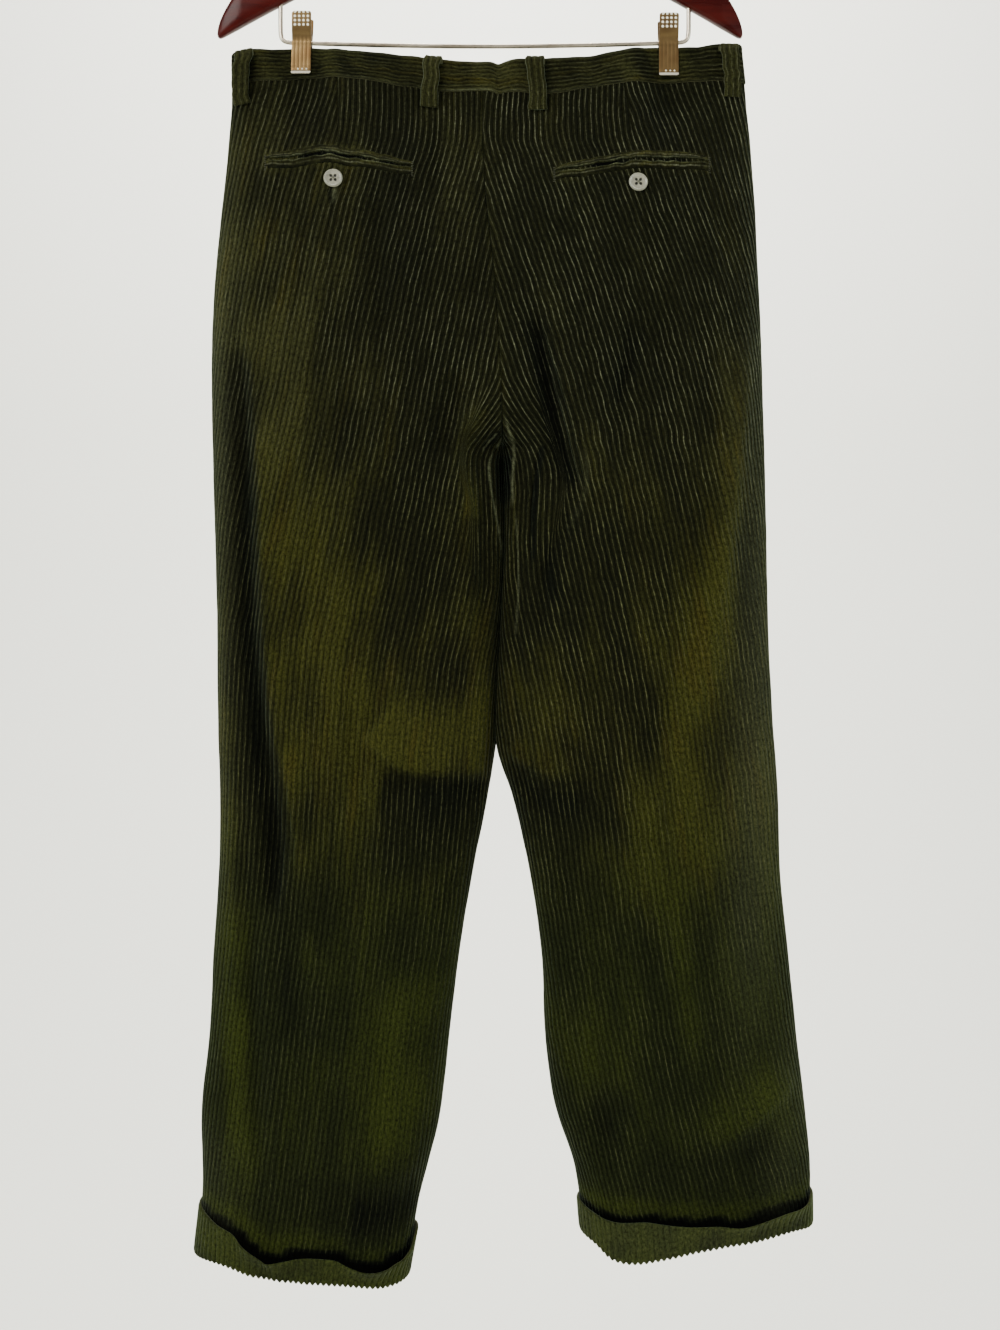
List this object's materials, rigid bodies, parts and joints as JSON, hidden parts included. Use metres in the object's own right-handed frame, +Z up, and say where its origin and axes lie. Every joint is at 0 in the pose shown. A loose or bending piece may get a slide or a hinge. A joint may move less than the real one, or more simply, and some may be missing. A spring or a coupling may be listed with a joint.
{
  "type": "corduroy trousers on a clamp hanger",
  "caption": "Straight-leg wide-wale corduroy trousers with turned-up cuffs, hanging by the waist from a wooden clamp hanger; open waist, legs and belt loops.",
  "frame": {"origin": "inner crown of the hanger's hook, where a rail carries it", "axes": "+Z up, +X to the right seen from behind the garment, the wearer's back faces -Y"},
  "size_m": [0.5504, 0.1084, 1.3187],
  "materials": {
    "corduroy": "dark olive wide-wale cotton corduroy, matt with a soft pile sheen",
    "horn": "pale grey-beige horn, satin",
    "wood": "dark red-brown stained wood, satin lacquer",
    "wire": "pale gold plated wire, polished",
    "clamp": "gold plated pressed metal, upright ribs"
  },
  "bodies": {
    "root": {"panel_back_left": "corduroy", "panel_back_right": "corduroy", "panel_front_left": "corduroy", "panel_front_right": "corduroy", "waistband_back": "corduroy", "waistband_front": "corduroy", "fly": "corduroy", "cuff_left": "corduroy", "cuff_right": "corduroy", "welt_left_upper": "corduroy", "welt_left_lower": "corduroy", "welt_right_upper": "corduroy", "welt_right_lower": "corduroy", "belt_loop_1": "corduroy", "belt_loop_2": "corduroy", "belt_loop_3": "corduroy", "belt_loop_4": "corduroy", "belt_loop_5": "corduroy", "belt_loop_6": "corduroy", "pocket_button_left": "horn", "pocket_button_right": "horn", "waist_button": "horn", "hanger_wood": "wood", "hanger_hook": "wire", "hanger_bar": "wire", "clamp_left_back": "clamp", "clamp_left_front": "clamp", "clamp_left_spring": "clamp", "clamp_right_back": "clamp", "clamp_right_front": "clamp", "clamp_right_spring": "clamp"}
  },
  "joints": []
}
